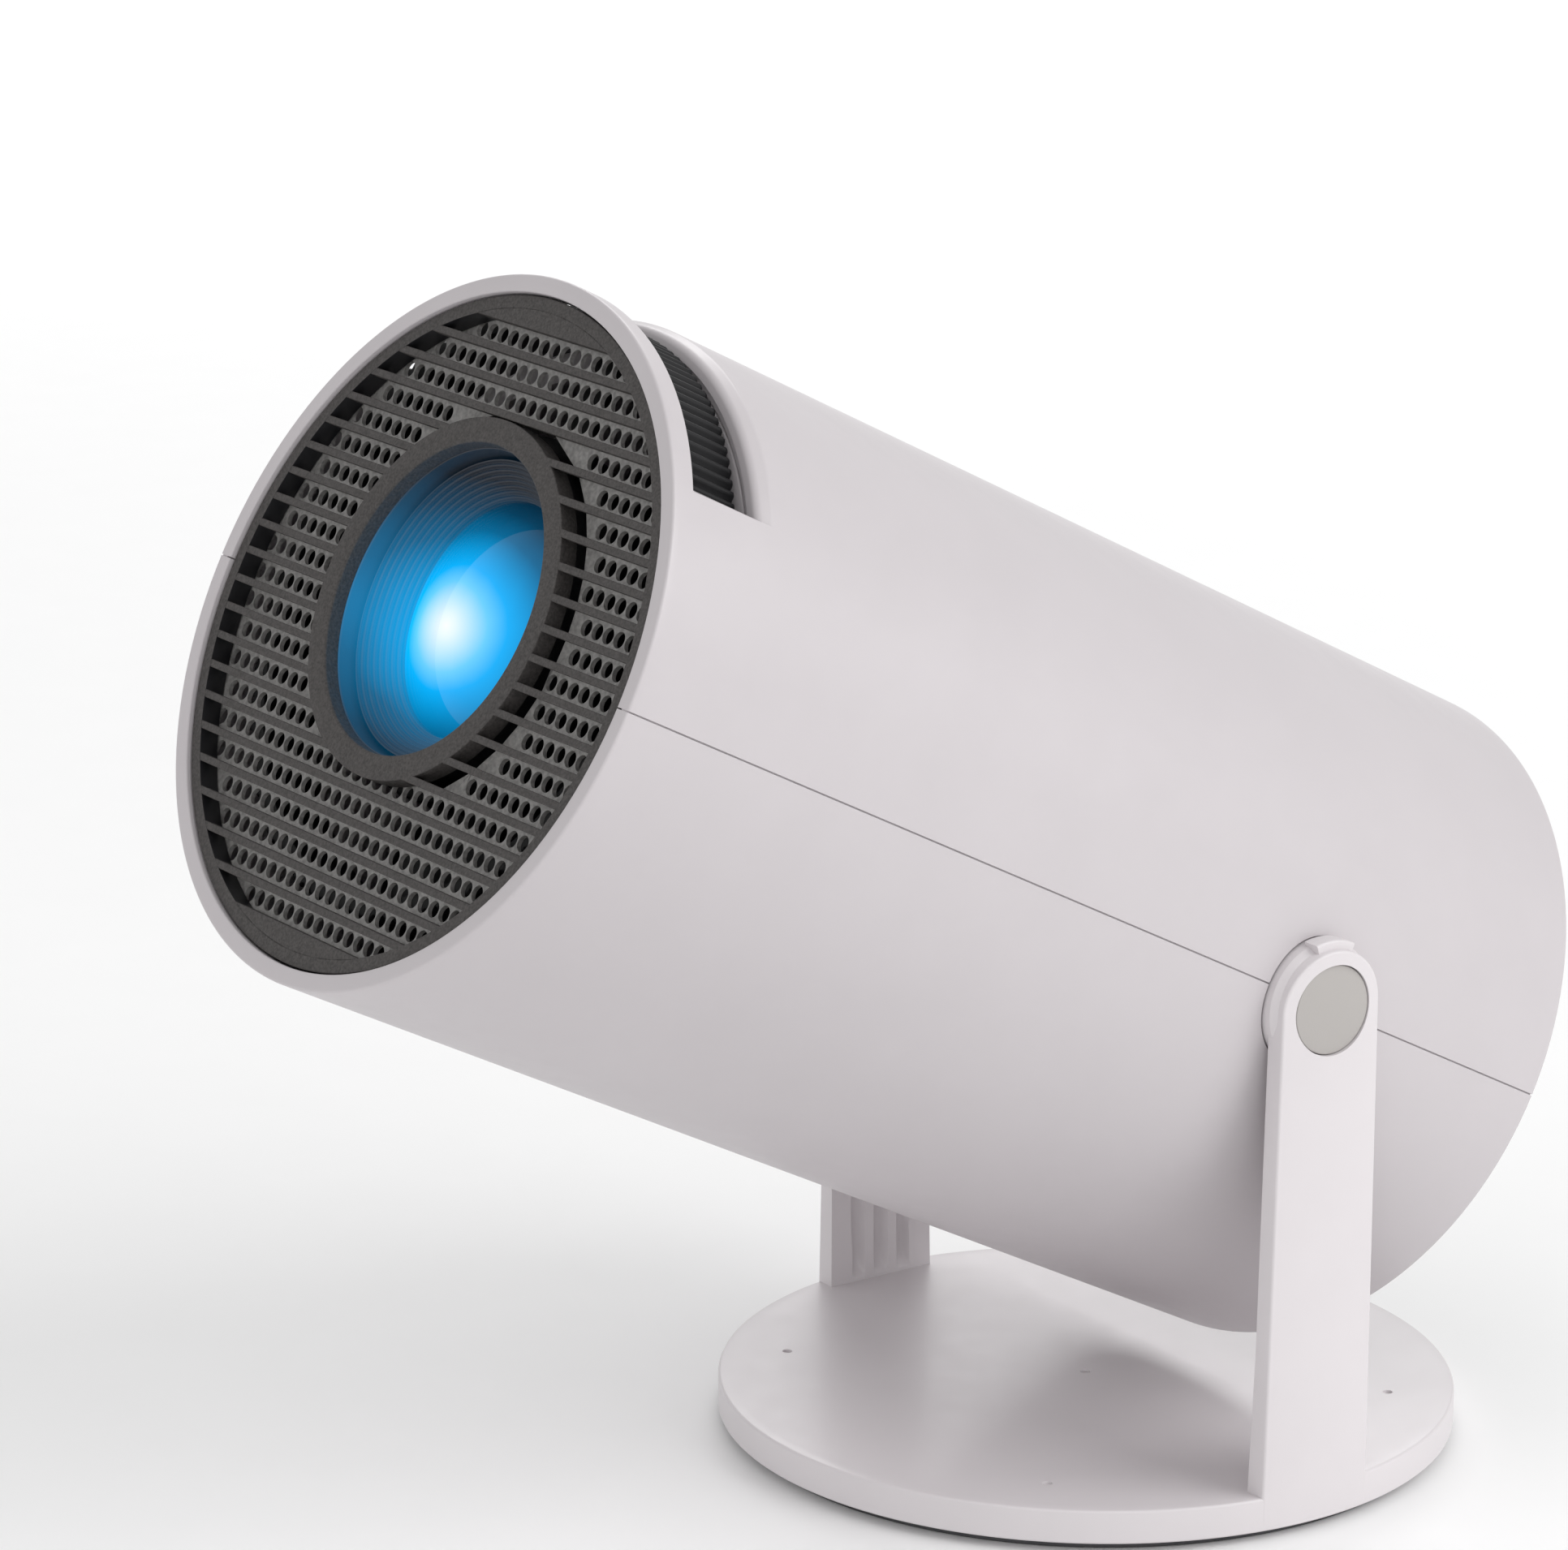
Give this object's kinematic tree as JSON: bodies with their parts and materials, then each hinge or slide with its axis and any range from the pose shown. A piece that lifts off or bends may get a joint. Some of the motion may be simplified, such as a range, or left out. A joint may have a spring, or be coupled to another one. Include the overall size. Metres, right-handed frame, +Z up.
{
  "type": "home projector",
  "caption": "Cylinder-shaped home projector that tilts between the two arms of a round table stand, with a slotted front grille around its lens and a focus wheel on top.",
  "frame": {"origin": "centre of the foot pad's underside, on the surface that the projector stands on", "axes": "+Z up; the lens looks along -Y and upward; the tilt axis runs along X, and +X is on the right of a person who faces the lens"},
  "size_m": [0.1126, 0.2098, 0.1876],
  "materials": {
    "white_shell": "satin white moulded plastic",
    "grille": "fine-textured charcoal plastic",
    "mesh": "black painted perforated plate",
    "black_plastic": "satin black plastic",
    "rubber_pad": "matt rubber",
    "pivot_cap": "matt warm grey plastic",
    "steel": "zinc-plated",
    "weight_steel": "plain rolled steel",
    "heat_sink_aluminium": "satin extruded",
    "lens_glass": "coated, polished",
    "clear_optics": "clear",
    "circuit_board": "green solder mask",
    "lamp": "white lamp board"
  },
  "bodies": {
    "stand": {"stand_frame": "white_shell", "foot_pad": "rubber_pad", "base_cover": "black_plastic", "base_weight": "weight_steel", "base_screw_1": "steel", "base_screw_2": "steel", "base_screw_3": "steel", "base_screw_4": "steel", "pivot_screw_right": "steel", "pivot_screw_left": "steel", "pivot_washer_right": "steel", "pivot_washer_left": "steel", "pivot_nut_right": "steel", "pivot_nut_left": "steel", "pivot_cap_right": "pivot_cap", "pivot_cap_left": "pivot_cap"},
    "head": {"upper_shell": "white_shell", "lower_shell": "white_shell", "panel_screw_1": "steel", "panel_screw_2": "steel", "panel_screw_3": "steel", "panel_screw_4": "steel", "front_grille": "grille", "mesh_plate": "mesh", "lens_guide": "black_plastic", "engine_housing": "black_plastic", "engine_lid": "black_plastic", "fresnel_lens_front": "clear_optics", "lcd_frame": "steel", "lcd_panel": "clear_optics", "fresnel_lens_rear": "clear_optics", "heat_glass": "clear_optics", "reflector": "heat_sink_aluminium", "led_board": "lamp", "heat_sink": "heat_sink_aluminium", "fan_frame": "black_plastic", "main_board": "circuit_board", "power_board": "circuit_board", "speaker": "black_plastic", "rear_panel": "grille", "hdmi_socket": "steel", "usb_socket": "steel", "audio_jack": "black_plastic", "mains_inlet": "black_plastic", "power_switch": "black_plastic", "remote_window": "black_plastic"},
    "focus_wheel": {"focus_wheel": "black_plastic"},
    "lens_cell": {"lens_cell": "black_plastic", "front_lens": "lens_glass", "rear_lens": "lens_glass"},
    "fan_rotor": {"fan_rotor": "black_plastic"},
    "power_button": {"power_button": "black_plastic"}
  },
  "joints": [
    {"name": "tilt", "type": "hinge", "parent": "stand", "child": "head", "pos_m": [0, -0.0008, 0.08], "axis": [-1, 0, 0], "range_deg": [-27.19, 152.81]},
    {"name": "focus_turn", "type": "hinge", "parent": "head", "child": "focus_wheel", "pos_m": [0, 0.00144, 0.08436], "axis": [0, -0.8895, 0.4569], "range_deg": [-45, 45]},
    {"name": "focus_travel", "type": "slide", "parent": "head", "child": "lens_cell", "axis": [0, -0.8895, 0.4569], "range_m": [-0.004, 0.004]},
    {"name": "fan_spin", "type": "hinge", "parent": "head", "child": "fan_rotor", "pos_m": [0, 0.00144, 0.08436], "axis": [0, -0.8895, 0.4569], "continuous": true},
    {"name": "power_press", "type": "slide", "parent": "head", "child": "power_button", "axis": [0, -0.8895, 0.4569], "range_m": [0, 0.0008], "stiffness_N_per_m": 300}
  ],
  "couplings": [
    {"joint": "focus_travel", "follows": "focus_turn", "m_per_rad": 0.005}
  ]
}
